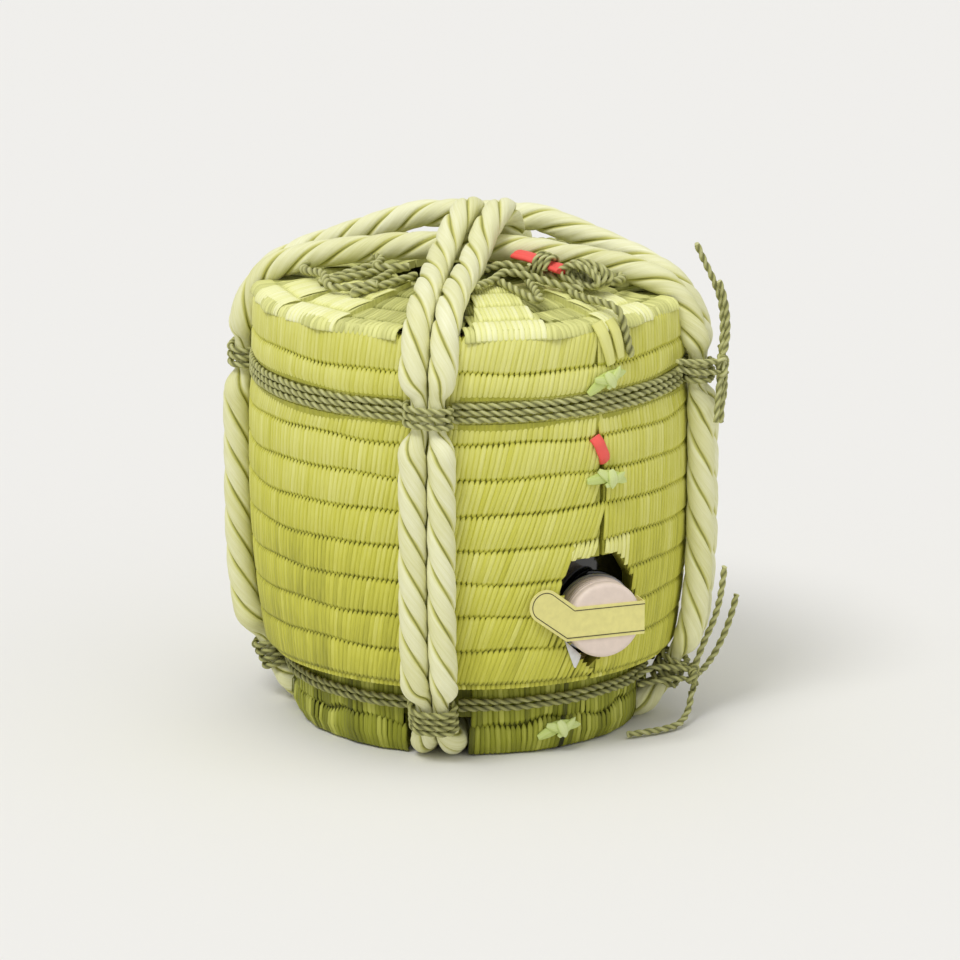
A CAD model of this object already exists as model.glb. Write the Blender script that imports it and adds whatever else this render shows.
"""Small sake cask in a straw mat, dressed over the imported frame.

+Z is up and the cap points to -Y. The pieces are made in millimetres, with azimuths in degrees
from the front, as in the part's source. Shell.build turns them into metres.
"""
import math

import bpy
import numpy as np
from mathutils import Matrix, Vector


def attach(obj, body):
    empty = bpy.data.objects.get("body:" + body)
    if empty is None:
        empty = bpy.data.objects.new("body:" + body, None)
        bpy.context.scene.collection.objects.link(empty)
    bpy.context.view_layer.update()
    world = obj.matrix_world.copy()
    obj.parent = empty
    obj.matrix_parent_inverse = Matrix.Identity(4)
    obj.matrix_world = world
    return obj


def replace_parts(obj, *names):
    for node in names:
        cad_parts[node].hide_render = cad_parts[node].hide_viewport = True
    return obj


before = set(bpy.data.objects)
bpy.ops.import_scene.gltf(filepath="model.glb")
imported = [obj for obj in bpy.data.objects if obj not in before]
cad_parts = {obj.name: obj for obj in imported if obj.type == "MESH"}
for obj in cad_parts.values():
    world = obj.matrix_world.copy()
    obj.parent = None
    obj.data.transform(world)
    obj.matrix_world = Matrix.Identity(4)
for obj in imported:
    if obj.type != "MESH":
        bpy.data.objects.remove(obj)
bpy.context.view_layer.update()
rng = np.random.default_rng(7)
MM = 0.001
PI = math.pi

# The mat: widest at MID_Z, with a seam, in rows of straw between weft lines
MAT_R, MAT_RIM_R, MAT_LOW_R, MAT_LOW_Z, MAT_TOP, MID_Z = 88, 85.5, 82.5, 33, 172, 100
ROWS = 10
ROW_H = (MAT_TOP - MAT_LOW_Z) / ROWS
SEAM, SEAM_W = 16, 1.6
STRAW_W = 2.12
FOOT_R = 71.5
# Ropes in pairs, thinner where cords are wound round them
ROPE_D, CORD_D = 11, 2.6
CORD_PITCH = CORD_D + 0.15  # cords side by side
PAIR_PHI, PAIR_HALF = -30, 5.65
PAIRS = [PAIR_PHI + 90 * k for k in range(4)]
UPPER_Z, LOWER_Z, LOWER_LEAN = 143, 20, 25
PINCH = 0.62  # share of the rope's size that is left where it is bound
BOUND_HALF, BOUND_L = PINCH * PAIR_HALF, 7
WIND_R, WIND_PITCH = PINCH * ROPE_D / 2 + 0.55 + CORD_D / 2, 3.15
# The neck, and the tabs folded in over the top
NECK_PHI, NECK_Z = 19.5, 57
TAB_T, TAB_RISE, TAB_IN, TABS_Z = 3, 4.5, 30, 172
UPPER_IN_R, TAB_FLAT = TAB_IN + 8, 69.8
CAMERA_PHI, CAMERA_UP = -20, 15  # degrees


def mat_at(z):
    """The mat's outer radius at a height."""
    z = np.asarray(z, float)
    low = MAT_R - (MAT_R - MAT_LOW_R) * ((MID_Z - z) / (MID_Z - MAT_LOW_Z)) ** 2
    high = MAT_R - (MAT_R - MAT_RIM_R) * ((z - MID_Z) / (MAT_TOP - MID_Z)) ** 2
    return np.where(z < MID_Z, low, high)


UPPER_BED_R = float(mat_at(UPPER_Z)) - CORD_D
UPPER_ROPE_R = UPPER_BED_R + 0.3 + CORD_D / 2 + WIND_R
LOWER_ROPE_R = FOOT_R + CORD_D + 0.6 + CORD_D / 2 + WIND_R
CASK_R_AT_NECK = 71 + 6.8 * (NECK_Z - 30) / 142  # the cask widens upwards
NECK_X = CASK_R_AT_NECK * math.sin(math.radians(NECK_PHI))


def at(phi, r, z):
    """The point at an azimuth, radius and height; with z=0 also an offset along an azimuth."""
    a = np.radians(phi)
    return np.stack(np.broadcast_arrays(r * np.sin(a), -r * np.cos(a), np.asarray(z, float)), -1)


def along(points, base=0.0):
    """Points given as azimuth from the seam, distance outside MAT_R, and height above a base."""
    p = np.asarray(points, float)
    return at(SEAM + p[:, 0], MAT_R + p[:, 1], base + p[:, 2])


# ---------------------------------------------------------------- camera and light
def direction(azimuth, elevation):
    a, e = math.radians(azimuth), math.radians(elevation)
    return Vector((math.sin(a) * math.cos(e), -math.cos(a) * math.cos(e), math.sin(e)))


def stage_and_camera():
    aim, away = Vector((0.0038, -0.0014, 0.0935)), 2.2
    cam = bpy.data.objects.new("camera", bpy.data.cameras.new("camera"))
    cam.location = aim + away * direction(CAMERA_PHI, CAMERA_UP)
    cam.rotation_euler = (aim - cam.location).to_track_quat("-Z", "Y").to_euler()
    cam.data.lens, cam.data.sensor_width = 206.25, 36
    cam.data.clip_start, cam.data.clip_end = 0.05, 50
    bpy.context.collection.objects.link(cam)
    bpy.context.scene.camera = cam
    bpy.context.scene.view_settings.view_transform = "Standard"

    bpy.ops.mesh.primitive_plane_add(size=12, location=(0, 0, -0.0002))
    floor = bpy.context.object
    floor.name = "floor"
    m, p = new_material("floor")
    p.inputs["Base Color"].default_value = (0.825, 0.815, 0.79, 1)
    p.inputs["Roughness"].default_value = 0.9
    floor.data.materials.append(m)

    w = bpy.data.worlds.new("world")
    bpy.context.scene.world = w
    w.use_nodes = True
    w.node_tree.nodes["Background"].inputs[0].default_value = (1, 1, 1, 1)
    w.node_tree.nodes["Background"].inputs[1].default_value = 0.55
    for name, azimuth, elevation, strength, angle in (
            ("key", -54, 56, 1.26, 22), ("fill", 40, 40, 0.20, 60), ("top", 0, 88, 0.45, 40)):
        light = bpy.data.objects.new(name, bpy.data.lights.new(name, "SUN"))
        light.data.energy, light.data.angle = strength, math.radians(angle)
        light.rotation_euler = (-direction(azimuth, elevation)).to_track_quat("-Z", "Y").to_euler()
        bpy.context.collection.objects.link(light)


# ---------------------------------------------------------------- materials
def srgb(*color):
    """A colour of three numbers up to 255, in the linear form that the shaders take."""
    return tuple(((c / 255 + 0.055) / 1.055) ** 2.4 if c > 10 else c / 255 / 12.92 for c in color) + (1,)


def new_material(name):
    m = bpy.data.materials.new(name)
    m.use_nodes = True
    return m, m.node_tree.nodes["Principled BSDF"]


def add(m, kind, inputs, **settings):
    """Adds a node. An input is a plain value or another node's output."""
    node = m.node_tree.nodes.new("ShaderNode" + kind)
    for key, value in settings.items():
        setattr(node, key, value)
    for key, value in inputs.items():
        if isinstance(value, bpy.types.NodeSocket):
            m.node_tree.links.new(value, node.inputs[key])
        else:
            node.inputs[key].default_value = value
    return node


def ramp(m, value, stops):
    """A colour ramp of (position, colour) stops over a value."""
    node = add(m, "ValToRGB", {"Fac": value})
    ends = node.color_ramp.elements
    for element, (position, color) in zip((ends[0], ends[1]), (stops[0], stops[-1])):
        element.position, element.color = position, color
    for position, color in stops[1:-1]:
        ends.new(position).color = color
    return node.outputs["Color"]


def finish_material(m, p, color, height, rough, strength, distance):
    """Links the colour, and lets one noise drive the roughness and the bump."""
    link = m.node_tree.links.new
    link(color, p.inputs["Base Color"])
    if rough[0] < rough[1]:
        spread = add(m, "MapRange", {"Value": height, "To Min": rough[0], "To Max": rough[1]})
        link(spread.outputs["Result"], p.inputs["Roughness"])
    else:
        p.inputs["Roughness"].default_value = rough[0]
    if strength:
        bump = add(m, "Bump", {"Strength": strength, "Distance": distance, "Height": height})
        link(bump.outputs["Normal"], p.inputs["Normal"])
    return m


def straw_material(name, dark, mid, light, fibre=0.5, scale=1.0):
    """Straw with fibres along the "lay" attribute (across, along, piece) and a "tone" for each straw."""
    m, p = new_material(name)
    lay = add(m, "Attribute", {}, attribute_name="lay").outputs["Vector"]
    tone = add(m, "Attribute", {}, attribute_name="tone").outputs["Fac"]

    def noise(across, length, detail):
        place = add(m, "Mapping", {"Vector": lay, "Scale": (across * scale, length * scale, 1)})
        place = place.outputs["Vector"]
        return add(m, "TexNoise", {"Vector": place, "Scale": 1, "Detail": detail}).outputs["Fac"]
    fibres, blotch = noise(3.2, 0.10, 2), noise(0.7, 0.05, 1)
    level = add(m, "Math", {0: tone, 1: fibre * 0.6}, operation="SUBTRACT").outputs[0]
    for value, share in ((blotch, 0.5), (fibres, 0.7)):
        level = add(m, "Math", {0: value, 1: fibre * share, 2: level}, operation="MULTIPLY_ADD").outputs[0]
    color = ramp(m, level, [(0, srgb(*dark)), (0.5, srgb(*mid)), (1, srgb(*light))])
    p.inputs["Specular IOR Level"].default_value = 0.35
    return finish_material(m, p, color, fibres, (0.45, 0.70), 0.35, 0.0004)


def plain_material(name, color, rough, spots=0.06, bump=0.0, metallic=0.0, coat=0.0):
    """A smooth material with a slight cloudiness in its colour and roughness."""
    m, p = new_material(name)
    place = add(m, "TexCoord", {}).outputs["Object"]
    noise = add(m, "TexNoise", {"Vector": place, "Scale": 400, "Detail": 3}).outputs["Fac"]
    c = srgb(*color)[:3]
    shades = [tuple(min(1, x * (1 + change)) for x in c) + (1,) for change in (-spots, spots)]
    p.inputs["Metallic"].default_value = metallic
    p.inputs["Coat Weight"].default_value = coat
    return finish_material(m, p, ramp(m, noise, [(0.35, shades[0]), (0.65, shades[1])]), noise,
                           (max(0.02, rough - 0.05), rough + 0.05), 0.5 if bump else 0, bump)


def wood_material(name, light, dark, grain):
    """Planed wood with its grain along one axis (0, 1 or 2)."""
    m, p = new_material(name)
    scale = [25 if k == grain else 420 for k in range(3)]
    place = add(m, "Mapping", {"Vector": add(m, "TexCoord", {}).outputs["Object"], "Scale": scale})
    noise = add(m, "TexNoise", {"Vector": place.outputs["Vector"], "Scale": 1, "Detail": 4}).outputs["Fac"]
    color = ramp(m, noise, [(0.3, srgb(*dark)), (0.7, srgb(*light))])
    return finish_material(m, p, color, noise, (0.6, 0.6), 0.3, 0.0003)


# ---------------------------------------------------------------- mesh helpers
class Shell:
    """Gathers points and faces of many small surfaces into one mesh, with their lay and tone."""

    def __init__(self):
        self.points, self.faces, self.lay, self.tone, self.count = [], [], [], [], 0

    def grid(self, points, lay, tone, close_u=False, close_v=False, turn=0):
        """points is (copies, rows, columns, 3), and lay matches it; tone has a number a copy or point.
        close_u joins the last row to the first, turned by some columns, and close_v the columns."""
        copies, rows, cols = points.shape[:3]
        index = np.arange(copies * rows * cols).reshape(copies, rows, cols) + self.count
        a = np.concatenate([index, np.roll(index[:, :1], -turn, 2)], 1) if close_u else index
        a = np.concatenate([a, a[:, :, :1]], 2) if close_v else a
        quads = np.stack([a[:, :-1, :-1], a[:, :-1, 1:], a[:, 1:, 1:], a[:, 1:, :-1]], -1).reshape(-1, 4)
        self.points.append(points.reshape(-1, 3))
        self.faces.append(quads)
        self.lay.append(np.broadcast_to(lay, points.shape).reshape(-1, 3))
        tone = np.asarray(tone, float)
        tone = tone.reshape(tone.shape + (1,) * (3 - tone.ndim))
        self.tone.append(np.broadcast_to(tone, (copies, rows, cols)).reshape(-1))
        self.count += copies * rows * cols

    def build(self, name, material, slot, body="root"):
        faces = np.concatenate(self.faces)
        mesh = bpy.data.meshes.new(name)
        mesh.vertices.add(self.count)
        mesh.vertices.foreach_set("co", (np.concatenate(self.points) * MM).astype(np.float32).ravel())
        mesh.loops.add(faces.size)
        mesh.loops.foreach_set("vertex_index", faces.astype(np.int32).ravel())
        mesh.polygons.add(len(faces))
        mesh.polygons.foreach_set("loop_start", np.arange(0, faces.size, 4, dtype=np.int32))
        mesh.update(calc_edges=True)
        mesh.polygons.foreach_set("use_smooth", np.full(len(faces), True))
        return place_mesh(mesh, np.concatenate(self.lay), np.concatenate(self.tone), M[material], body)


def place_mesh(mesh, lay, tone, material, body="root"):
    """Makes a piece of a mesh, with its lay and tone for the straw materials."""
    data = mesh.attributes.new("lay", "FLOAT_VECTOR", "POINT").data
    data.foreach_set("vector", lay.astype(np.float32).ravel())
    data = mesh.attributes.new("tone", "FLOAT", "POINT").data
    data.foreach_set("value", tone.astype(np.float32))
    mesh.materials.clear()
    mesh.materials.append(material)
    obj = bpy.data.objects.new(mesh.name, mesh)
    bpy.context.collection.objects.link(obj)
    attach(obj, body)
    return obj


def add_backing(obj, node, material, shrink, tone, drop=None):
    """Joins a dark layer behind the straws to them: a copy of the node's own form, drawn in a little."""
    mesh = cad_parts[node].data.copy()
    mesh.name = node + "_back"
    co = np.empty(len(mesh.vertices) * 3, np.float32)
    mesh.vertices.foreach_get("co", co)
    co = co.reshape(-1, 3)
    r = np.hypot(co[:, 0], co[:, 1])
    k = np.where(r > 1e-6, np.maximum(r - shrink * MM, 0) / np.maximum(r, 1e-9), 1)
    co[:, :2] *= k[:, None]
    if drop:
        co[:, 2] -= drop(r * 1000) * MM
    mesh.vertices.foreach_set("co", co.ravel())
    lay = np.stack([np.degrees(np.arctan2(co[:, 0], -co[:, 1])) * 1.5, co[:, 2] * 1000, r * 1000], -1)
    back = place_mesh(mesh, lay, np.full(len(co), tone), M[material])
    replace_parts(back, node)
    bpy.ops.object.select_all(action="DESELECT")
    back.select_set(True)
    obj.select_set(True)
    bpy.context.view_layer.objects.active = obj
    bpy.ops.object.join()
    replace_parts(obj, node)


def unit(v):
    return v / np.linalg.norm(v, axis=-1, keepdims=True)


def curve(points, step, closed=False):
    """Smooth route through points, resampled at an even step; a fourth number is carried along."""
    p = np.asarray(points, float)
    n = len(p)
    get = (lambda i: p[i % n]) if closed else (lambda i: p[min(max(i, 0), n - 1)])
    out = []
    for i in range(n if closed else n - 1):
        a, b, c, d = get(i - 1), get(i), get(i + 1), get(i + 2)
        t = np.linspace(0, 1, 24, endpoint=False)[:, None]
        out.append(0.5 * (2 * b + (c - a) * t + (2 * a - 5 * b + 4 * c - d) * t * t
                          + (3 * b - a - 3 * c + d) * t ** 3))
    out.append(get(n)[None] if closed else p[-1:])
    q = np.concatenate(out)
    s = np.concatenate([[0], np.cumsum(np.linalg.norm(np.diff(q[:, :3], axis=0), axis=1))])
    count = max(4, int(round(s[-1] / step)))
    u = np.linspace(0, s[-1], count + 1)
    q = np.stack([np.interp(u, s, q[:, k]) for k in range(q.shape[1])], -1)
    return (q[:-1], s[-1]) if closed else (q, s[-1])


def frames(q, closed):
    """Headings and side vectors carried along a route without twisting."""
    t = unit(np.roll(q, -1, 0) - np.roll(q, 1, 0) if closed else np.gradient(q, axis=0))
    side = np.zeros_like(t)
    v = np.cross(t[0], [0, 0, 1] if abs(t[0][2]) < 0.8 else [1, 0, 0])
    for i in range(len(t)):
        v = unit(v - v.dot(t[i]) * t[i])
        side[i] = v
    return t, side


# Thick ropes have broad flat strands, thin cords round ones
ROPE = dict(strands=3, lay=46.5, sides=48, step=1.3, flat=0.28, hand=-1)
CORD = dict(strands=2, lay=8.6, sides=12, step=0.8)
ROUND_R, ROUND_OUT = 0.64, 0.36  # a cord strand's radius and its distance from the middle, of the cord's


def laid(shell, route, d, tone, strands, lay, sides, step, closed=False, ends=True, flat=0.0, hand=1):
    """A laid rope or cord along a route: strands that wind round each other."""
    q, length = curve(route, step, closed)
    share = q[:, 3] if q.shape[1] > 3 else np.ones(len(q))
    q = q[:, :3]
    t, side = frames(q, closed)
    other = np.cross(t, side)
    n = len(q)
    s = (np.arange(n) * (length / (n if closed else n - 1)))[:, None]
    turns = length / lay
    start = 0.0
    if closed:  # a whole number of strands, so that the ends meet
        turns = round(turns * strands) / strands
        back = unit(side[-1] - side[-1].dot(t[0]) * t[0])
        slip = math.atan2(np.dot(np.cross(side[0], back), t[0]), np.dot(side[0], back))
        start = -slip * s / length
    period, per = 2 * PI / strands, sides // strands
    edge = np.linspace(-1, 1, per, endpoint=False) + 1 / per
    if flat:
        edge = np.sign(edge) * np.abs(edge) ** 0.8
    rel = np.tile(edge * period / 2, strands)[None]
    strand = np.repeat(np.arange(strands), per)[None]
    angle = rel + strand * period + (hand * 2 * PI * turns * s / length + start)
    if flat:  # a low crown with a groove at both edges, then ridges of bundled straw, then unevenness
        edge = np.abs(rel) / (period / 2)
        rad = d / 2 * (1 - 0.10 * edge ** 2 - flat * np.clip((edge - 0.66) / 0.34, 0, 1) ** 1.8)
        ridge = rel * 7 + 2.2 * np.sin(s / 21 + strand * 2) + 1.3 * np.sin(s / 7.7 + strand)
        rad = rad * (1 + 0.012 * np.sin(ridge) + 0.02 * rel / (period / 2))
        rad = rad * (1 + 0.02 * np.sin(strand * 2.1 + s * 0.13) * np.cos(s * 0.071 + strand))
    else:  # round strands
        a, e = ROUND_R * d / 2, ROUND_OUT * d / 2
        rad = np.broadcast_to(e * np.cos(rel) + np.sqrt(a * a - (e * np.sin(rel)) ** 2), angle.shape)
    groove = np.clip((rad / (d / 2) - 0.68) / (0.2 if flat else 0.3), 0, 1)  # 0 deep in, where it is dark
    rad = rad * share[:, None]
    pts = q[:, None] + rad[..., None] * (np.cos(angle)[..., None] * side[:, None]
                                         + np.sin(angle)[..., None] * other[:, None])
    base = rng.uniform(0, 50)
    lay_v = np.stack(np.broadcast_arrays(rel * rad + strand * 7.3 + base, s, base), -1)
    tones = tone * (0.30 + 0.70 * groove) + 0.04 * np.sin(strand * 2.4 + base)
    skip = int(round((hand * 2 * PI * turns) / period)) % strands * per if closed else 0
    shell.grid(pts[None], lay_v[None], tones[None], close_u=closed, close_v=True, turn=-skip)
    if not closed and ends:
        for k, sign in ((0, -1), (n - 1, 1)):
            rings = np.stack([q[k] + (pts[k] - q[k]) * f + t[k] * sign * g * d
                              for f, g in ((1, 0), (0.72, 0.10), (0.02, 0.06))])
            rings = rings if sign > 0 else rings[:, ::-1]
            shell.grid(rings[None], np.broadcast_to(lay_v[k], rings.shape)[None], tone * 1.1,
                       close_v=True)
    return q


def cord(shell, route, thick=1.0, tone=0.63, **more):
    """A twisted thin cord, some times as thick as CORD_D."""
    return laid(shell, route, CORD_D * thick, tone, **CORD, **more)


def tape(shell, route, normal, width, thick, tone, step=0.7, shape=None, cup=0.0, twist=0.0, square=0.5):
    """A flat band along a route, with its broad side to a normal. shape scales its width along its
    length, cup bends it across, twist turns it, and square sets how sharp its edges are."""
    q, length = curve(route, step)
    t = unit(np.gradient(q, axis=0))
    side = unit(np.cross(t, np.asarray(normal, float)))
    up = np.cross(side, t)
    u = np.linspace(0, 1, len(q))
    cos, sin = np.cos(twist * u)[:, None], np.sin(twist * u)[:, None]
    side, up = side * cos + up * sin, up * cos - side * sin
    around = np.linspace(0, 2 * PI, 16, endpoint=False)
    x, y = (np.sign(f(around)) * np.abs(f(around)) ** square for f in (np.cos, np.sin))
    size = shape(u) if shape else np.ones(len(q))
    w = (width / 2 * size)[:, None]
    h = (thick / 2 * (np.minimum(1, size * 1.6) if shape else size))[:, None]
    pts = (q[:, None] + (w * x)[..., None] * side[:, None]
           + (h * y + cup * w * (1 - x ** 2))[..., None] * up[:, None])
    seed = rng.uniform(0, 60)
    lay = np.stack(np.broadcast_arrays(w * x + seed, (u * length)[:, None] + seed, seed), -1)
    tones = tone * (0.82 + 0.18 * (1 - x ** 4)) * np.ones_like(w)
    shell.grid(pts[None], lay[None], tones[None], close_v=True)
    for k, sign in ((0, -1), (len(q) - 1, 1)):
        cap = np.stack([q[k] + (pts[k] - q[k]) * f for f in (1, 0.02)])
        cap = cap if sign > 0 else cap[:, ::-1]
        shell.grid(cap[None], np.broadcast_to(lay[k], cap.shape)[None], tone * 0.9, close_v=True)


# ---------------------------------------------------------------- straw rows
ACROSS = np.array([-1, -0.72, -0.3, 0.3, 0.72, 1])
ALONG = np.array([0, 0.06, 0.16, 0.5, 0.84, 0.945, 1])
ALONG_FINE = np.array([0, 0.045, 0.12, 0.2, 0.3, 0.42, 0.6, 0.8, 0.92, 1])
POINT_L, BLUNT, LEAST = 2.4, 0.96, 0.02  # a sharp end's length; the widths of a cut end and of a tip


def straws(shell, phi, low, high, lean, width, surface, tone, sharp_low, sharp_high, arch=0.5, tip=0.9,
           lift=0.35, offset=None, rows=ALONG):
    """Rows of straws on a surface of revolution: azimuths, ends along the profile, lean, widths.

    surface(v) gives the radius and height of the profile at v, and its outward normal. A sharp end
    runs past its line by tip, into a point. With offset, the straws lie side by side across a tab
    that points to the middle, at that distance from its centre line."""
    def col(x):
        return np.broadcast_to(np.asarray(x, float), (len(phi),))[:, None, None]
    point_low, point_high = col(sharp_low) > 0, col(sharp_high) > 0
    lo = col(low) - tip * point_low
    hi = col(high) + tip * point_high
    v = lo + (hi - lo) * rows[None, :, None]
    taper = np.minimum(1, np.where(point_low, ((v - lo) / POINT_L) ** 0.6, BLUNT))
    taper = np.minimum(taper, np.where(point_high, ((hi - v) / POINT_L) ** 0.6, BLUNT))
    taper = np.maximum(taper, LEAST)
    s = ACROSS[None, None, :]
    half = col(width) / 2 * taper
    across = s * half + col(lean) * (v - (lo + hi) / 2)
    out = (arch * (1 - s ** 2) ** 0.6 * taper ** 0.7 + lift * np.sin(PI * rows[None, :, None]) ** 0.5
           - 0.95 * (1 - taper ** 1.6))  # crowned across and along, with the tips drawn in
    r, z, normal_r, normal_z = surface(v)
    r, z = r + normal_r * out, z + normal_z * out
    if offset is None:
        pts = at(col(phi) + np.degrees(across / np.maximum(r, 5)), r, z)
    else:
        pts = at(col(phi), np.maximum(r, 1), z) + at(col(phi) + 90, col(offset) + across, 0)
    seeds = col(rng.uniform(0, 90, len(phi)))
    lay = np.stack(np.broadcast_arrays(s * half + seeds * 3, v + seeds, seeds), -1)
    pale = (0.20 * np.exp(-((hi - v) / 1.7) ** 2) * point_high
            - 0.10 * np.exp(-((v - lo) / 1.6) ** 2) * point_low)
    side_shade = 0.74 + 0.26 * (1 - s ** 4)
    end_shade = 0.60 + 0.40 * np.minimum(1, taper ** 2)
    shell.grid(pts, lay, (col(tone) + pale) * side_shade * end_shade)


def wall(v):
    """The mat's side, where the height is v, pressed in a little under the upper band."""
    press = 2.3 * np.clip((7.6 - np.abs(v - UPPER_Z)) / 3.2, 0, 1)
    r = mat_at(v) - press - 0.55
    return r, v, np.ones_like(r), np.zeros_like(r)


def turned_edge(v):
    """The lower edge of the mat, where it turns in under the last weft line."""
    r = mat_at(np.maximum(v, 31)) - 1.3 - 0.12 * (MAT_LOW_Z - np.minimum(v, MAT_LOW_Z)) ** 2
    return r, v, np.ones_like(v), -0.3 * np.ones_like(v)


# The torn hole in the mat: corners measured from the neck's axis, and a round part round the cap
HOLE = [(-18, -6), (-18, 17), (-13.5, 25), (8, 25), (16.7, 12), (16.7, 0), (4, -15), (-5, -22), (-9, -15)]
HOLE_R = 16.7


def in_hole(phi, z):
    p = at(phi, mat_at(z), z)
    x, h = p[..., 0] - NECK_X, p[..., 2] - NECK_Z
    inside = np.zeros(x.shape, bool)
    for (x0, y0), (x1, y1) in zip(HOLE, HOLE[1:] + HOLE[:1]):
        inside ^= ((y0 > h) != (y1 > h)) & (x < (x1 - x0) * (h - y0) / ((y1 - y0) or 1e-9) + x0)
    return (inside | (np.hypot(x, h) < HOLE_R)) & (p[..., 1] < 0)


def azimuth_from_camera(phi):
    return (phi - CAMERA_PHI + 180) % 360 - 180


def weft_line(phi, k):
    """Height of the line under row k: wavy, and drooping a little under the ropes at the two sides."""
    droop = 3.0 * np.exp(-((np.abs(azimuth_from_camera(phi)) - 92) / 30) ** 2) * (1 - k / ROWS)
    wave = (0.5 * np.sin(phi * 0.11 + k) + 0.3 * np.sin(phi * 0.23 + 2 * k)) if 0 < k < ROWS else 0.0
    return MAT_LOW_Z + k * ROW_H - droop + wave


def cut_at_hole(phi, low, high, lean, tone, samples=30, shortest=2.0, bright_above=76):
    """Shortens the straws that reach the hole. Returns which are kept, and which ends stay sharp."""
    keep = np.ones(len(phi), bool)
    sharp_low, sharp_high = np.ones(len(phi)), np.ones(len(phi))
    for i in range(len(phi)):
        z = low[i] + (high[i] - low[i]) * np.linspace(0, 1, samples)
        path = phi[i] + np.degrees(lean[i] * (z - (low[i] + high[i]) / 2) / MAT_R)
        clear = ~in_hole(path, z)
        if clear.all():
            continue
        if clear.sum() * (high[i] - low[i]) / samples < shortest:
            keep[i] = False
            continue
        good = np.flatnonzero(clear)
        run = max(np.split(good, np.flatnonzero(np.diff(good) > 1) + 1), key=len)
        if run[0] > 0:
            low[i], sharp_low[i] = z[run[0]] + rng.uniform(-0.5, 0.7), 0
            if z[run[0]] > bright_above:  # the cut ends over the cap
                tone[i] += 0.35
        if run[-1] < samples - 1:
            high[i], sharp_high[i] = z[run[-1]] + rng.uniform(-0.8, 0.3), 0
    return keep, sharp_low, sharp_high


def mat():
    """The mat's side: ten rows of straw, the loose strips over the rim, and the turned lower edge."""
    shell = Shell()
    step = math.degrees(STRAW_W / MAT_R)
    gap = math.degrees(SEAM_W / 2 / MAT_R)
    count = int((360 - 2 * gap) / step)
    for k in range(ROWS):
        phi = SEAM + gap + (np.arange(count - k % 2) + 0.5 + 0.5 * (k % 2)) * step
        if k > 6:  # the seam is closed above the red ribbon
            phi = np.append(phi, [SEAM - 0.2, SEAM + 0.8])
        theta = azimuth_from_camera(phi)
        # the straws lean more and more from the left of the front ropes to the seam, but not past it
        lean = (0.05 + 0.13 * np.clip((theta + 60) / 40, 0, 1) + 0.12 * np.clip((theta + 8) / 18, 0, 1)
                + 0.02 * np.sin(phi * 0.31))
        lean = np.where(phi < SEAM + 50, 0.03, lean) * (1.2 if k < 6 else 0.8)
        low, high = weft_line(phi, k), weft_line(phi, k + 1)
        # each row is lighter than the one below, with a darker patch low at the left and a lighter middle
        tone = (0.60 + 0.045 * rng.standard_normal(len(phi)) + 0.03 * np.sin(phi * 0.07 + k)
                + 0.026 * (k - 5))
        tone += -0.06 * (theta > -90) * (theta < -40) * (k < 4) + 0.04 * (theta > -8) * (theta < 40)
        keep, sharp_low, sharp_high = cut_at_hole(phi, low, high, lean, tone)
        width = STRAW_W * 1.12 * (1 + 0.06 * rng.standard_normal(keep.sum()))
        straws(shell, phi[keep], low[keep], high[keep], lean[keep], width, wall, tone[keep],
               sharp_low[keep], sharp_high[keep])
    # the loose strips that come over the rim to the seam
    for a, b, wide in (((15.2, 174.6), (18.6, 158), 5.2), ((19.4, 175), (22, 160), 4.6)):
        f = np.linspace(0, 1, 5)
        z = a[1] + (b[1] - a[1]) * f
        r = mat_at(np.minimum(z, MAT_TOP)) + 0.9 + np.array([-1.6, 0.5, 0.8, 0.6, 0.1])
        tape(shell, at(a[0] + (b[0] - a[0]) * f, r, z), at((a[0] + b[0]) / 2, 1, 0), wide, 1.0, 0.86,
             cup=0.12, shape=lambda u: 1 - 0.25 * u ** 3)
    # short straws, tucked in at the turned lower edge
    phi = SEAM + (np.arange(count) + 0.5) * step
    line = weft_line(phi, 0)
    straws(shell, phi, line - 2.2, line + 0.3, 0.03, STRAW_W * 1.1, turned_edge,
           0.46 + 0.08 * rng.standard_normal(len(phi)), 0, 1, arch=0.6, tip=0.5, lift=0)
    obj = shell.build("straw_mat_straws", "mat", "mat_straw")
    add_backing(obj, "straw_mat", "mat", shrink=0.9, tone=0.30)


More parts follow.
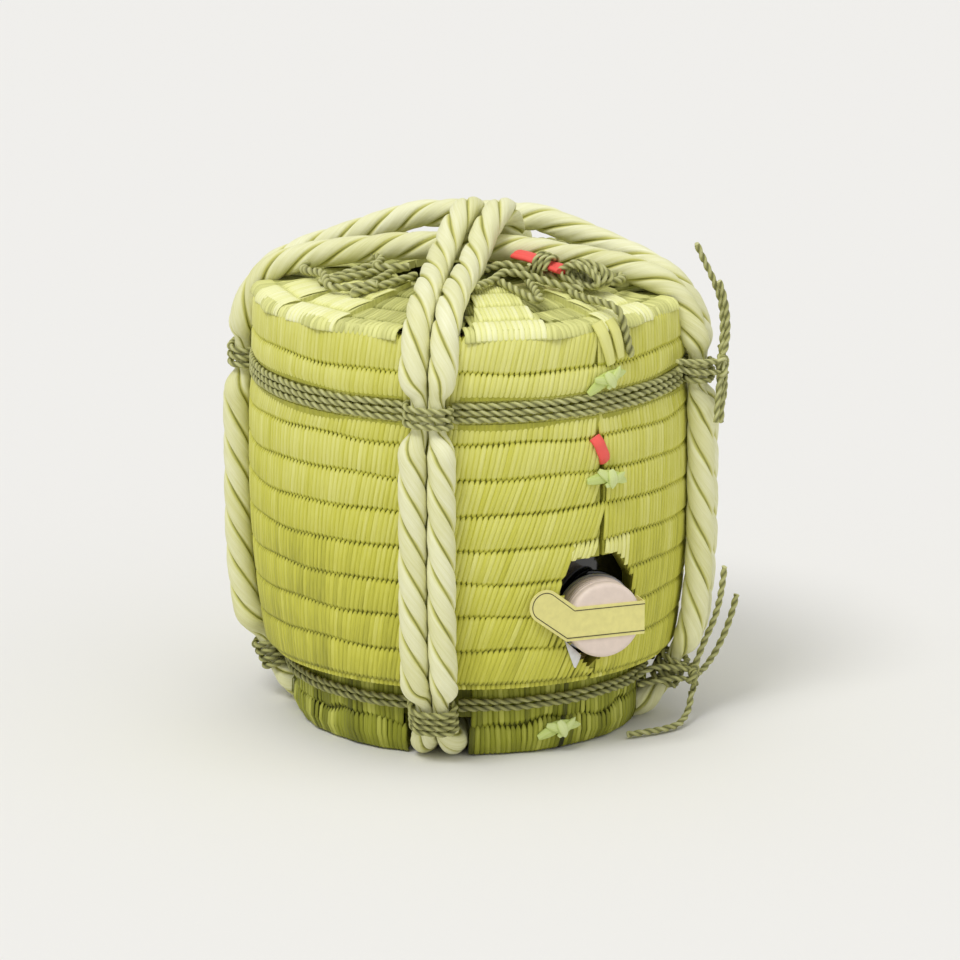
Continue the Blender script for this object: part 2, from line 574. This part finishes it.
# ---------------------------------------------------------------- the pieces
M = {
    "mat": straw_material("mat_straw", (80, 84, 6), (205, 203, 76), (242, 241, 164), 0.42, 1.5),
    "tab": straw_material("tab_straw", (104, 108, 8), (234, 234, 152), (255, 255, 222), 0.36, 1.5),
    "foot": straw_material("foot_straw", (36, 40, 3), (148, 152, 38), (216, 218, 108)),
    "rope": straw_material("rope_straw", (60, 70, 0), (208, 206, 116), (255, 255, 228), 0.38, 1.3),
    "cord": straw_material("cord_rush", (48, 50, 16), (184, 184, 116), (234, 234, 188), 0.45, 1.6),
    "tie": straw_material("tie_straw", (100, 122, 40), (198, 214, 120), (242, 248, 204), 0.35),
    "red": straw_material("red_ribbon", (160, 30, 30), (244, 88, 80), (255, 130, 120), 0.2),
    "paper": plain_material("white_paper", (228, 228, 226), 0.8, bump=0.0002),
    "seal": plain_material("seal_paper", (230, 222, 140), 0.42, spots=0.04),
    "seal_line": plain_material("seal_border", (52, 44, 26), 0.6),
    "cap": plain_material("cap_plastic", (230, 212, 198), 0.42, spots=0.03, bump=0.00003),
    "metal": plain_material("cap_metal", (176, 176, 180), 0.3, spots=0.04, metallic=1.0),
    "stopper": plain_material("stopper_plastic", (236, 232, 224), 0.5),
    "lacquer": plain_material("black_lacquer", (9, 9, 10), 0.12, spots=0.2, coat=0.6),
    "wood": wood_material("cask_wood", (222, 184, 128), (178, 130, 78), 2),
    "head": wood_material("head_wood", (228, 196, 142), (190, 146, 92), 1),
    "bamboo": wood_material("bamboo", (200, 182, 104), (150, 132, 66), 0),
}

# The routes of the free cord ends, as in the part's source: a base height, and points for along()
FREE = {
    "upper_tail": (143, [[41.6, 13.5, 8], [43.4, 13.4, 18], [43.6, 12.4, 28], [42.6, 9.6, 37], [41.4, 6.2, 45],
                         [40.4, 3.4, 52]]),
    "lower_tail_up": (20, [[41.6, 4.2, 2.1], [43.8, 7.2, 11], [44.4, 10.8, 20], [44, 13, 28], [43.4, 14.4, 36],
                           [43, 15.2, 43]]),
    "lower_tail_out": (20, [[43.8, 4.6, -2.2], [46, 6.6, -1.4], [49.6, 10.4, 3], [52, 14.6, 11], [53, 17.4, 19],
                            [53.6, 19.2, 26]]),
    "lower_tail_floor": (0, [[40.4, 3.2, 11.4], [37, 3.2, 5.6], [32, 2.2, 2.4], [27, -1, 1.8], [22, -5.4, 1.8],
                             [17, -9.6, 1.8]]),
}


def free_cords():
    for name, (base, points) in FREE.items():
        shell = Shell()
        q = cord(shell, along(points, base), 1.1)
        obj = shell.build("cord_" + name, "cord", "cord_rush")
        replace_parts(obj, name)


# Radius and height along half of a rope loop, from under the foot to over the top, and a share of
# the rope's size where it is bound; then the front pair's hump over the side pair, with its bow aside
LEAN_R = BOUND_L * math.tan(math.radians(LOWER_LEAN))
ROPE_PATH = [
    (20, 17), (38, 12), (52, 7), (62, 6), (71, 7.2), (LOWER_ROPE_R - LEAN_R, LOWER_Z - BOUND_L, PINCH),
    (LOWER_ROPE_R, LOWER_Z, PINCH), (LOWER_ROPE_R + LEAN_R, LOWER_Z + BOUND_L, PINCH), (88.7, 33.5),
    (90.8, 40), (92.6, 54), (93.6, 72), (MAT_R + ROPE_D / 2 + 0.3, 100), (93.7, 122),
    (93.5, UPPER_Z - 2 * BOUND_L), (UPPER_ROPE_R, UPPER_Z - BOUND_L, PINCH), (UPPER_ROPE_R, UPPER_Z, PINCH),
    (UPPER_ROPE_R, UPPER_Z + BOUND_L, PINCH), (91.2, UPPER_Z + 2 * BOUND_L), (86.2, 169.5), (79.4, 177.6),
    (68, 183), (54, 186), (38, 188), (20, 190)]
HUMP = [(38, 188.5, 0), (23, 193.5, 1), (14, 200, 3), (5, 203.8, 5), (-4, 202.6, 7), (-10, 196.6, 8),
        (-15, 190, 8), (-22, 186.4, 6), (-32, 185.6, 3), (-44, 185.8, 1)]


def rope_point(p, phi, shift, side=1, bow=0.0, lift=0.0):
    """A point of a rope beside the plane of an azimuth, and its share of the size."""
    share = p[2] if len(p) > 2 else 1
    return list(at(phi, side * p[0], p[1] + lift) + at(phi + 90, share * shift + bow, 0)) + [share]


def rope_front_route(shift):
    """A loop from front to back, below the side pair under the foot and above it on the top."""
    low = [(16, ROPE_D / 2 + 0.3), (40, ROPE_D / 2 + 0.3)] + [p for p in ROPE_PATH if p[0] > 50]
    return ([rope_point(p, PAIR_PHI, shift) for p in low]
            + [rope_point((r, z), PAIR_PHI, 1.14 * shift, bow=bow) for r, z, bow in HUMP]
            + [rope_point(p, PAIR_PHI + 180, -shift) for p in low[::-1]])


def rope_side_route(shift, bow, lift):
    """A loop from side to side, with a bow and a lift of its part over the top."""
    def on_top(p, size, reach):
        return size * (1 - (min(p[0], reach) / reach) ** 2) * (p[1] >= UPPER_Z)
    return [rope_point(p, PAIR_PHI + 90, shift, side, on_top(p, bow, 80), on_top(p, lift, 60))
            for side in (1, -1) for p in ROPE_PATH[::side]]


def ropes():
    for name, route, tone in (("rope_front_1", rope_front_route(-PAIR_HALF), 0.74),
                              ("rope_front_2", rope_front_route(PAIR_HALF), 0.76),
                              ("rope_side_1", rope_side_route(-PAIR_HALF, 0, 0), 0.72),
                              ("rope_side_2", rope_side_route(PAIR_HALF, 20.5, 7.4), 0.78)):
        shell = Shell()
        laid(shell, route, ROPE_D * 1.02, tone, closed=True, **ROPE)
        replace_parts(shell.build(name + "_laid", "rope", "rope_straw"), name)


def band(node, bed, middle, lines, overlap, points, out, wave, tone):
    """The cords of a band on a bed radius, in quarters whose ends lie under the windings."""
    gap = math.degrees(math.asin((BOUND_HALF + WIND_R + CORD_D / 2 + 0.3) / bed)) - overlap
    height, pitch, drift = wave
    shell = Shell()
    for phi in PAIRS:
        for k in range(lines):
            z = middle + (k - (lines - 1) / 2) * CORD_PITCH
            a = np.linspace(phi + gap, phi + 90 - gap, points)
            cord(shell, at(a, bed + out, z + height * np.sin(a * pitch + k * drift)), 1.04, tone, ends=False)
    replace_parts(shell.build(node + "_cords", "cord", "cord_rush"), node)


def winding(phi, r, z, turns, lean, per_turn=14):
    """A cord wound round a rope pair, in turns of two half circles."""
    half, out, b = per_turn // 2, [], math.radians(lean)
    step = 180 / (half - 1)
    for i in range(per_turn * turns + 1):
        k = i % per_turn
        a = math.radians(-90 + step * k if k < half else 90 + step * (k - half))
        side = BOUND_HALF if k < half else -BOUND_HALF
        x, y, h = WIND_R * math.sin(a), side + WIND_R * math.cos(a), (i / per_turn - turns / 2) * WIND_PITCH
        x, h = x * math.cos(b) + h * math.sin(b), -x * math.sin(b) + h * math.cos(b)
        out.append(at(phi, r + x, z + h) + at(phi + 90, y, 0))
    return out


def bands():
    band("upper_band", bed=UPPER_BED_R + 0.3 + CORD_D / 2, middle=UPPER_Z, lines=3, overlap=1.2,
         points=16, out=0.25, wave=(0.12, 0.35, 2), tone=0.63)
    band("lower_band", bed=FOOT_R + 0.3 + CORD_D / 2, middle=LOWER_Z + 2, lines=2, overlap=1.5,
         points=14, out=0.2, wave=(0.15, 0.3, 1), tone=0.46)
    for name, r, z, turns, lean, tone in (("upper_windings", UPPER_ROPE_R, UPPER_Z, 3, 0, 0.63),
                                          ("lower_windings", LOWER_ROPE_R, LOWER_Z, 4, LOWER_LEAN, 0.52)):
        shell = Shell()
        for phi in PAIRS:
            cord(shell, winding(phi, r, z, turns, lean), 1.05, tone)
        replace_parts(shell.build(name + "_cord", "cord", "cord_rush"), name)


def trefoil(centre, phi, size, tilt=0.0, n=20):
    """The closed path of a round knot, facing an azimuth."""
    t = np.linspace(0, 2 * PI, n, endpoint=False)
    a = size / 3 * (np.sin(t) + 2 * np.sin(2 * t))
    b = size / 3 * (np.cos(t) - 2 * np.cos(2 * t))
    c = size / 3 * 0.9 * np.sin(3 * t)
    ca, sa = math.cos(tilt), math.sin(tilt)
    return [centre + at(phi, c[i], 0) + at(phi + 90, a[i] * ca - b[i] * sa, 0)
            + np.array([0, 0, a[i] * sa + b[i] * ca]) for i in range(n)]


def knots():
    """The upper and the lower knot, each of two round knots with cord ends and crossing cords."""
    phi = SEAM + 41
    shell = Shell()
    p = at(phi, UPPER_ROPE_R + WIND_R + CORD_D + 2.6, UPPER_Z + 4)
    cord(shell, trefoil(p, phi, 4.2), closed=True)
    cord(shell, trefoil(p + at(phi, 0.6, -2), phi + 3, 3.2, 1.1), closed=True)
    for thick, points in (
            (1, [[42, 13.3, 1.6], [42.6, 13.4, -6], [43.4, 13.2, -14], [44, 13, -21]]),
            (1, [[40, 13.3, 1.6], [39, 13.4, -5], [37.6, 13.4, -12], [37, 13.4, -18]]),
            (1, [[43, 13.6, 3], [45, 14.0, -3], [46.4, 13.6, -10], [46.8, 12.8, -15]]),
            (0.96, [[28, 2.2, 9], [32, 6.2, 7.6], [36, 10.4, 6.6], [40, 13.4, 5.4], [44, 13.9, 4.0],
                    [48, 12.0, 2.0]]),
            (0.96, [[29, 1.8, 5.6], [33, 6.6, 3.4], [37, 11.0, 2.0], [41, 13.9, 1.4], [45, 13.4, 6.0],
                    [47.6, 11.6, 8.6]]),
            (1, [[40.6, 13.6, 5], [42.2, 15.2, 12], [42.4, 15.4, 21], [42.2, 14.2, 30], [41.6, 12.2, 37]])):
        cord(shell, along(points, UPPER_Z), thick)
    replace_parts(shell.build("upper_knot_cord", "cord", "cord_rush"), "upper_knot")
    shell = Shell()
    p = at(phi, LOWER_ROPE_R + WIND_R + CORD_D + 2.4, LOWER_Z - 2)
    cord(shell, trefoil(p, phi, 4.2, 0.5), tone=0.45, closed=True)
    cord(shell, trefoil(p + at(phi, 0.4, 1), phi - 3, 3.2, 1.5), tone=0.5, closed=True)
    for points in ([[27, -13.4, 2.0], [31, -9.0, 4.4], [35, -4.0, 3.6], [39, 1.8, 1.6], [43, 4.2, -1.6],
                    [46, 2.6, -4.6]],
                   [[28, -13.2, -2.0], [32, -8.6, -1.6], [36, -2.6, -1.4], [40, 2.8, -3.4], [41.4, 3.6, -7.0],
                    [41, 2.9, -10.4]]):
        cord(shell, along(points, LOWER_Z), tone=0.48)
    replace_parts(shell.build("lower_knot_cord", "cord", "cord_rush"), "lower_knot")


def on_tabs(r):
    """Height of the middle of a cord that lies on the upper tabs."""
    return TABS_Z + 2 * TAB_T + 0.3 + CORD_D / 2 + TAB_RISE * (TAB_FLAT - r) / (TAB_FLAT - UPPER_IN_R)


def rim_drop(r, base):
    """How far an upper layer of tabs comes down to the lower one at the rim."""
    return (base - TABS_Z) * 0.92 * np.clip((r - TAB_FLAT) / (MAT_RIM_R - 2 - TAB_FLAT), 0, 1)


def tab_surface(base, bend=4.0):
    """The top of a layer of tabs, by the distance in from the rim, with a rounded bend at the rim."""
    def surface(v):
        a = np.clip(v / (bend * PI / 2), 0, 1) * PI / 2
        rest = np.maximum(v - bend * PI / 2, 0)
        r = MAT_RIM_R - 0.8 - bend + bend * np.cos(a) - rest
        slope = TAB_RISE / (TAB_FLAT - UPPER_IN_R)
        z = base + TAB_T - bend + bend * np.sin(a) + np.maximum(TAB_FLAT - r, 0) * slope - 0.5
        return r, z - rim_drop(r, base), np.cos(a), np.sin(a)
    return surface


def inner_straw(shell, n=150, outer_r=80, head_z=167.6):
    """The tabs' dark inner straw, in two layers that lie over the head."""
    for height in (0, 1.2):
        phi = np.arange(n) * 360 / n + rng.uniform(-1.5, 1.5, n)
        lift = rng.uniform(0, 1.4, n)[:, None, None] + height

        def surface(v):
            r = outer_r - v
            z = head_z + lift + 4.6 * np.clip((r - 62) / 7, 0, 1)  # it comes up to the tabs outside
            return r, z, np.zeros_like(r), np.ones_like(r)
        straws(shell, phi, 0, 72 - rng.uniform(0, 14, n), 0.04 * rng.standard_normal(n), 3.6, surface,
               0.16 + 0.07 * rng.standard_normal(n), 0, 1, lift=0)


def tabs():
    """The mat's upper ends, folded in over the top in two layers of woven tabs."""
    # azimuths of the tabs in each quarter between the ropes, from its middle
    lower, upper = [(-24, 0, 24)] * 4, [(-24, 12), (-13, 13), (-13, 13), (-15, 8)]
    for name, quarters, base, angle, inner, tone in (
            ("lower_tabs", lower, TABS_Z, 24.6, TAB_IN, 0.44),
            ("upper_tabs", upper, TABS_Z + TAB_T, 19, UPPER_IN_R, 0.70)):
        shell, surface = Shell(), tab_surface(base)
        reach = MAT_RIM_R - inner + 1
        count = int(math.radians(angle) * MAT_RIM_R / STRAW_W)
        for centre in [pair + 45 + a for pair, spread in zip(PAIRS, quarters) for a in spread]:
            for k in range(4):  # woven rows, each narrower than the one outside it
                low = k * ROW_H - 2 if k else -1.0
                high = min((k + 1) * ROW_H - 2, reach)
                n, last, squeeze = count - k % 2, high >= reach - 0.1, 1 - 0.16 * k
                x = (np.arange(n) - (n - 1) / 2) * STRAW_W
                end = high + rng.uniform(-1.2, 0.6, n) * last
                if high - low < 3:
                    continue
                straws(shell, np.full(n, centre), low, end, 0, STRAW_W * 1.1 * squeeze, surface,
                       tone + 0.05 * rng.standard_normal(n) - 0.07 * k, k > 0, not last,
                       offset=x * squeeze, rows=ALONG_FINE)
        if name == "lower_tabs":
            inner_straw(shell)
        obj = shell.build(name + "_straws", "tab", "tab_straw")
        add_backing(obj, name, "tab", shrink=0.6, tone=0.40,
                    drop=lambda r: rim_drop(r, base) + 0.4)


def foot_surface(fold=None, roll=6.0):
    """The foot's side, by the distance up from the floor line. fold is the azimuth of each straw, and
    gives the bulges of the gathered straw."""
    def surface(v):
        a = np.clip(1 - v / (roll * PI / 2), 0, 1) * PI / 2
        r = FOOT_R - roll + roll * np.cos(a) - 0.5
        if fold is not None:
            lump = 0.7 * np.sin(fold * 0.23 + v * 0.10) + 0.5 * np.sin(fold * 0.61 + 1) - 0.3
            r = r + lump * np.sin(np.clip(v / 30, 0, 1) * PI)
        z = roll - roll * np.sin(a) + np.maximum(v - roll * PI / 2, 0)
        return r, np.maximum(z, 0.6), np.cos(a), -np.sin(a)
    return surface


def foot():
    """The foot in four sectors of two rows of straw, and the straw walls of the channels between them."""
    shell = Shell()
    side = 13.2  # from the middle of a rope channel to its wall
    half, step = math.degrees(math.asin(side / FOOT_R)), math.degrees(STRAW_W / FOOT_R)
    for pair in PAIRS:
        for centre, turn in ((pair, 1), (pair + 90, -1)):
            v, deep = np.linspace(2.0, 29.5, 9)[:, None], np.linspace(0, 24, 9)[None]
            r, z = foot_surface()(v)[:2]
            channel = (at(centre, np.sqrt(r * r - side * side) - deep, z)
                       + at(centre + 90, turn * (side - 0.02 * deep), 0))
            lay = np.stack(np.broadcast_arrays(deep * 1.1 + 5, v, pair), -1)
            shell.grid(channel[None], lay[None], 0.30)
        phi = np.arange(pair + half, pair + 90 - half, step)
        for k, (low, high) in enumerate(((2.0, 16.5), (16.5, 31.5))):
            p = phi + k * step / 2
            p = p[p < pair + 90 - half]
            wave = 1.3 * np.sin(p * 0.17 + k) + 0.6 * np.sin(p * 0.41)
            straws(shell, p, low + wave * (k > 0), high + wave * (k == 0), 0.06 * np.sin(p * 0.2),
                   STRAW_W * 1.12, foot_surface(p[:, None, None]),
                   0.52 + 0.13 * rng.standard_normal(len(p)) + 0.12 * np.sin(p * 0.37), k > 0, k == 0, tip=0.8)
    obj = shell.build("foot_straws", "foot", "foot_straw")
    add_backing(obj, "straw_foot", "foot", shrink=2.6, tone=0.30)


# Azimuths and radii of the extra lacing runs over the tabs
LACING = [[(-17, 50), (-8, 42), (2, 37), (12, 44), (20, 56), (25, 62)],
          [(-14, 34), (-4, 29), (8, 30), (20, 38), (27, 50)], [(34, 62), (40, 66), (47, 65), (52, 60)],
          [(66, 60), (76, 66), (88, 64), (100, 58)], [(-118, 62), (-104, 66), (-88, 62), (-74, 66), (-60, 56)],
          [(-112, 40), (-96, 36), (-80, 42), (-64, 34)]]


def lacing():
    """The cord that laces the tabs in a zigzag, its extra runs, and the bundle of loops beside it."""
    shell = Shell()
    for pair, count in zip(PAIRS, (2, 4, 4, 4)):
        zigzag = [(pair + 24.5 + k * 10.25, 64 if k % 2 else 37) for k in range(count + 1)]
        cord(shell, [at(a, r, on_tabs(r) + 0.3) for a, r in zigzag], 1.3)
    for run in LACING:
        cord(shell, [at(a, r, on_tabs(r) + 1.9 + 0.7 * math.sin(a * 0.2)) for a, r in run], 1.35)
    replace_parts(shell.build("top_lacing_cord", "cord", "cord_rush"), "top_lacing")
    shell = Shell()
    phi = SEAM + 15
    c = at(phi, 59, on_tabs(59) + 5.2)
    for k in range(-2, 3):
        wide, tall = 8.2 + 1.2 * math.sin(k * 2.3), 4.2 + 0.7 * math.cos(k * 1.7)
        ring = [c + at(phi + 90, k * 2.3 + 0.9 * math.sin(a * 2 + k), 0) + at(phi, wide * math.cos(a), 0)
                + np.array([0, 0, tall * math.sin(a) - 0.9 * math.cos(a)])
                for a in np.linspace(0, 2 * PI, 14, endpoint=False)]
        cord(shell, ring, 1.1, closed=True)
    end = [[6, -32, on_tabs(56)], [5, -22, on_tabs(66)], [4.6, -12, 180.4], [4.8, -4, 180], [5.6, -0.6, 177]]
    end += [[off, float(mat_at(z)) + 2 - MAT_R, z] for off, z in ((7.4, 169), (9, 160))]
    cord(shell, along(end), 1.35)  # over the rim and down beside the seam
    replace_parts(shell.build("lacing_bundle_cord", "cord", "cord_rush"), "lacing_bundle")


def pinched(u):
    """The width of the red tie along its length, narrow where the cord is wound round it."""
    return 1.15 - 0.42 * np.exp(-((u - 0.56) / 0.16) ** 2) + 0.05 * np.sin(u * 17)


def red_tie(wrap_r=4.3, wrap_turns=3):
    """The red tie on the bundle, of two crossed bands, with a cord wound round its waist."""
    a, b = at(SEAM + 7, 27, 190), at(SEAM + 9, 51, 187)
    shell = Shell()
    for off, high, turn in ((-0.7, 0.0, 0.3), (0.8, 0.7, -0.35)):
        move = at(SEAM + 98, off, high)
        route = [a + move, a * 0.66 + b * 0.34 + move + [0, 0, 0.5],
                 a * 0.33 + b * 0.67 + move * 0.6 + [0, 0, 0.2], b + move]
        tape(shell, route, (0, 0, 1), 5.2, 2.0, 0.6, shape=pinched, twist=turn, cup=0.12, square=0.7)
    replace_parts(shell.build("red_tie_tube", "red", "red_ribbon"), "red_tie")
    shell = Shell()
    d = unit(b - a)
    u = unit(np.cross(d, [0, 0, 1]))
    w = np.cross(d, u)
    first = a + (b - a) * 0.4 + d * 1.0
    path = [first + d * (CORD_PITCH * x / (2 * PI)) + wrap_r * (u * math.cos(x) + w * math.sin(x))
            for x in np.linspace(0, wrap_turns * 2 * PI, 43)]
    cord(shell, path)
    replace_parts(shell.build("red_tie_wrap_cord", "cord", "cord_rush"), "red_tie_wrap")


def leaf(u):
    """The width of a leaf along its length."""
    return np.clip(np.sin(PI * np.clip(u * 0.9 + 0.1, 0, 1)) ** 0.6, 0.16, 1)


# The leaves of a seam tie: across and up from its middle at both ends, distance out, width
LEAVES = [(-9.5, -2.2, 4.0, 1.4, 0.0, 4.6), (-4.0, 1.8, 9.5, -1.2, 0.7, 4.4), (-6.0, 2.6, 2.5, -2.4, 1.3, 3.6),
          (-1.6, -3.2, 6.8, 2.8, 1.7, 3.4), (-1.2, 3.6, 1.2, -3.8, 2.5, 4.2)]


def seam_ties():
    """Two ties on the mat's seam and one on the foot, as bunches of flat leaves."""
    shell = Shell()
    for phi, bed, z, lean in ((SEAM + 1, float(mat_at(152.5)), 152.5, 0.3),
                              (SEAM + 1, float(mat_at(113.5)), 113.5, -0.2), (SEAM - 7, FOOT_R, 10, 0.1)):
        c, out, ca, sa = at(phi, bed + 1.2, z), at(phi, 1, 0), math.cos(lean), math.sin(lean)

        def place(x, h, d):
            return (c + at(phi + 90, x * ca - h * sa, 0) + np.array([0, 0, x * sa + h * ca])
                    + out * (d - x * x / (2 * MAT_R)))
        for x0, h0, x1, h1, d, wide in LEAVES:
            route = [place(x0, h0, d - 0.3), place((x0 + x1) / 2, (h0 + h1) / 2 + 0.4, d + 0.5),
                     place(x1, h1, d - 0.3)]
            tape(shell, route, out, wide, 1.1, 0.55 + 0.06 * d, step=0.5, shape=leaf, cup=0.16)
    obj = shell.build("seam_tie_straws", "tie", "tie_straw")
    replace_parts(obj, "seam_tie_1", "seam_tie_2", "seam_tie_3")


def seam_ribbon():
    """The red ribbon's fold, which comes out of the seam and goes back in."""
    shell = Shell()
    phi, lean = SEAM - 1, math.radians(25)
    up = at(phi + 90, -math.sin(lean), 0) + np.array([0, 0, math.cos(lean)])
    c, inward = at(phi, MAT_R + 0.9, 125), at(phi, -1, 0)
    route = [c - up * 5.4 + inward * 1.2, c - up * 3, c, c + up * 3.2, c + up * 5.6 + inward * 1.6]
    tape(shell, route, at(phi, 1, 0), 5.0, 1.2, 0.62, cup=0.22, square=0.6)
    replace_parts(shell.build("seam_ribbon_fold", "red", "red_ribbon"), "seam_ribbon")


# The corner of the lining paper: left and right ends of its rows from the neck's axis, distance out
CORNER = [((-13.4, -9.6), (-7.4, -15), -9.5), ((-15, -8), (-8, -15), -1.0), ((-15.8, -7.4), (-8.2, -14.6), 0.8),
          ((-13.9, -12.6), (-9.0, -17), 1.0), ((-11.0, -19.4), (-10.2, -19.8), 0.8)]
PAPER_T = 0.3


def lining():
    """The corner of white paper that comes out of the hole below the cap and folds down."""
    shell = Shell()

    def point(left, right, out, f):
        x, h = NECK_X + left[0] * (1 - f) + right[0] * f, NECK_Z + left[1] * (1 - f) + right[1] * f
        r = float(mat_at(h)) + out
        return x, -math.sqrt(r * r - x * x), h
    share = np.linspace(0, 1, 6)
    rows = np.array([[point(left, right, out, f) for f in share]
                     + [point(left, right, out - PAPER_T, f) for f in share[::-1]]
                     for left, right, out in CORNER])
    shell.grid(rows[None], (rows * [2, 1, 2])[None], 0.6, close_v=True)
    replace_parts(shell.build("lining_paper_corner", "paper", "white_paper"), "lining_paper")


def seal_border():
    """The thin dark line inside the edge of the seal, on the band over the cap and round the free end."""
    inset, half_w, edge, seal_t = 1.3, 6.7, 16.0, 0.4
    tip, rise, bend = 13.8, 38, 4  # the free end: its length, its angle up, its angle forward
    crease = (-12.8, -16.6)  # where it folds, at the band's upper and lower edge
    line_w, line_t, line_lift, round_points, tone = 0.34, 0.2, 0.02, 18, 0.5
    face_y = -(MAT_R - 2.1) - 2.75  # the cap's face: the shell's end and its crown
    line, middle = half_w - inset, sum(crease) / 2
    drift = (crease[1] - crease[0]) * inset / (2 * half_w)
    top, low = (crease[0] + drift, line), (crease[1] - drift, -line)
    a = math.radians(rise)
    disc = np.array([middle - tip * math.cos(a), tip * math.sin(a)])

    def touch(corner, sign):
        """The angle at which the line from a corner meets the round end."""
        away = np.array(corner) - disc
        return math.atan2(away[1], away[0]) + sign * math.acos(line / np.hypot(*away))
    round_end = [disc + line * np.array([math.cos(b), math.sin(b)])
                 for b in np.linspace(touch(top, 1), touch(low, -1) + 2 * PI, round_points)]
    shell = Shell()

    def place(p):
        ahead = seal_t + math.tan(math.radians(bend)) * max(0.0, middle - p[0]) + line_lift
        return np.array([NECK_X + p[0], face_y - ahead, NECK_Z + p[1]])
    for route in ([top, (edge, line)], [low, (edge, -line)], [top, round_end[0]], round_end,
                  [round_end[-1], low]):
        tape(shell, [place(p) for p in route], (0, -1, 0), line_w, line_t, tone, step=0.5)
    for h in (line, -line):  # over the edge of the cap and back along its side
        x = NECK_X + edge
        route = [(x, face_y - seal_t, NECK_Z + h), (x, face_y + 7.6, NECK_Z + h)]
        tape(shell, route, (1, 0, 0), line_w, line_t, tone, step=0.5)
    shell.build("seal_border_line", "seal_line", "seal_paper", body="cap")


def carried_over():
    """Gives the CAD nodes that stay their materials."""
    kinds = {"neck": "lacquer", "stopper": "stopper", "cap_ring": "metal", "cap_shell": "cap",
             "seal_strip": "seal"}
    for node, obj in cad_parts.items():
        kind = ("wood" if node.startswith("stave_") else "bamboo" if node.startswith("hoop_")
                else "head" if "head_board" in node else kinds.get(node))
        if kind:
            obj.data.materials.clear()
            obj.data.materials.append(M[kind])


stage_and_camera()
free_cords()
ropes()
bands()
knots()
mat()
tabs()
foot()
lacing()
red_tie()
seam_ties()
seam_ribbon()
lining()
seal_border()
carried_over()
